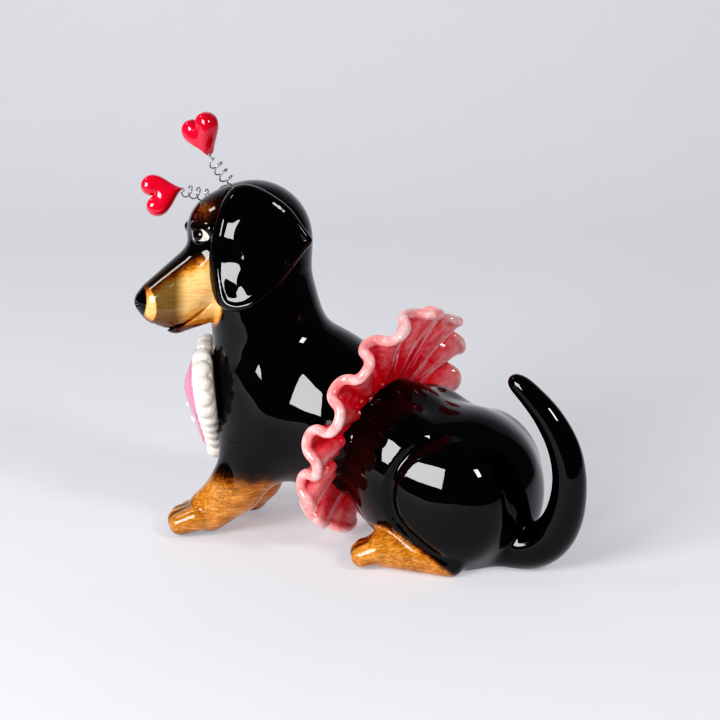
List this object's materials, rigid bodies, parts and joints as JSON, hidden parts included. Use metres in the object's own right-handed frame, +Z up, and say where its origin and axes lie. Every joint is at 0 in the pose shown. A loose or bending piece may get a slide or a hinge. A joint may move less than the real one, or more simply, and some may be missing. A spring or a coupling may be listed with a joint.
{
  "type": "ceramic dog figurine",
  "caption": "Glossy glazed dachshund figurine sitting in a ruffled skirt, with a heart plaque on its chest and hearts that sway on springs from its head.",
  "frame": {"origin": "on the floor, under the seat of the rump, in the dog's middle plane", "axes": "+Z up; the dog's body lies along Y and faces -Y; +X is the dog's left"},
  "size_m": [0.1226, 0.2275, 0.2096],
  "materials": {
    "black_tan_glaze": "glossy clear glaze over black and tan underglaze",
    "skirt_glaze": "glossy, pale at the ruffle's edges and deep pink in its folds",
    "white_glaze": "glossy off-white",
    "pink_glaze": "glossy pale pink",
    "heart_glaze": "glossy pinkish red",
    "spring_wire": "drawn bright wire",
    "clear_glue": "clear cured epoxy"
  },
  "bodies": {
    "figurine": {"torso_casting": "black_tan_glaze", "head_casting": "black_tan_glaze", "ear_left": "black_tan_glaze", "ear_right": "black_tan_glaze", "foreleg_left": "black_tan_glaze", "foreleg_right": "black_tan_glaze", "hind_foot_left": "black_tan_glaze", "hind_foot_right": "black_tan_glaze", "tail": "black_tan_glaze", "tutu": "skirt_glaze", "plaque_shell": "white_glaze", "plaque_centre": "pink_glaze", "plaque_sprigs": "white_glaze", "left_socket_glue": "clear_glue", "right_socket_glue": "clear_glue"},
    "left_coil": {"left_spring": "spring_wire"},
    "left_bopper": {"left_heart": "heart_glaze", "left_heart_glue": "clear_glue"},
    "right_coil": {"right_spring": "spring_wire"},
    "right_bopper": {"right_heart": "heart_glaze", "right_heart_glue": "clear_glue"}
  },
  "joints": [
    {"name": "left_spring_nod", "type": "hinge", "parent": "figurine", "child": "left_coil", "pos_m": [0.01638, -0.13441, 0.17836], "axis": [0.752, 0.6457, 0.133], "range_deg": [-30, 20], "stiffness_Nm_per_rad": 0.03, "deforming": ["left_spring"]},
    {"name": "left_heart_sway", "type": "hinge", "parent": "left_coil", "child": "left_bopper", "pos_m": [0.01844, -0.13802, 0.18424], "axis": [-0.5938, 0.5757, 0.5621], "range_deg": [-25, 25], "stiffness_Nm_per_rad": 0.03, "deforming": ["left_spring"]},
    {"name": "right_spring_nod", "type": "hinge", "parent": "figurine", "child": "right_coil", "pos_m": [0.01052, -0.1503, 0.16768], "axis": [0.8521, 0.4778, 0.2138], "range_deg": [-20, 20], "stiffness_Nm_per_rad": 0.03, "deforming": ["right_spring"]},
    {"name": "right_heart_sway", "type": "hinge", "parent": "right_coil", "child": "right_bopper", "pos_m": [0.01366, -0.1566, 0.16925], "axis": [-0.2907, 0.0921, 0.9524], "range_deg": [-20, 20], "stiffness_Nm_per_rad": 0.03, "deforming": ["right_spring"]}
  ]
}
